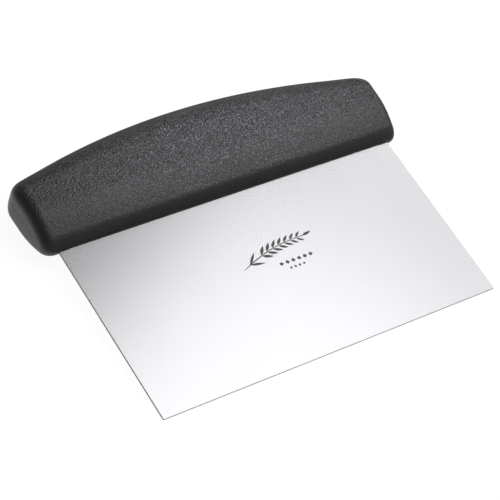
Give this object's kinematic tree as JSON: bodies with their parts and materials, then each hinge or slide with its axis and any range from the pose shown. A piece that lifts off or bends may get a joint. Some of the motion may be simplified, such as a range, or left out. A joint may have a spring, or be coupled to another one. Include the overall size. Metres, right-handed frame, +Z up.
{
  "type": "bench scraper",
  "caption": "Rectangular stainless steel sheet blade moulded into an arched, grained plastic bar handle, for cutting and scraping dough on a bench.",
  "frame": {"origin": "middle of the footprint on the bench, with the scraper lying on its back face: belly of the handle and scraping edge both touch z = 0", "axes": "+X along the handle, +Y from the scraping edge towards the handle, +Z up from the bench; the blade rises 5.18 degrees from the scraping edge to the handle"},
  "size_m": [0.1656, 0.1186, 0.0186],
  "materials": {
    "blade": "fine satin sheet, softly reflecting",
    "handle": "black, fine moulded grain"
  },
  "bodies": {
    "root": {"blade": "blade", "handle": "handle"}
  },
  "joints": []
}
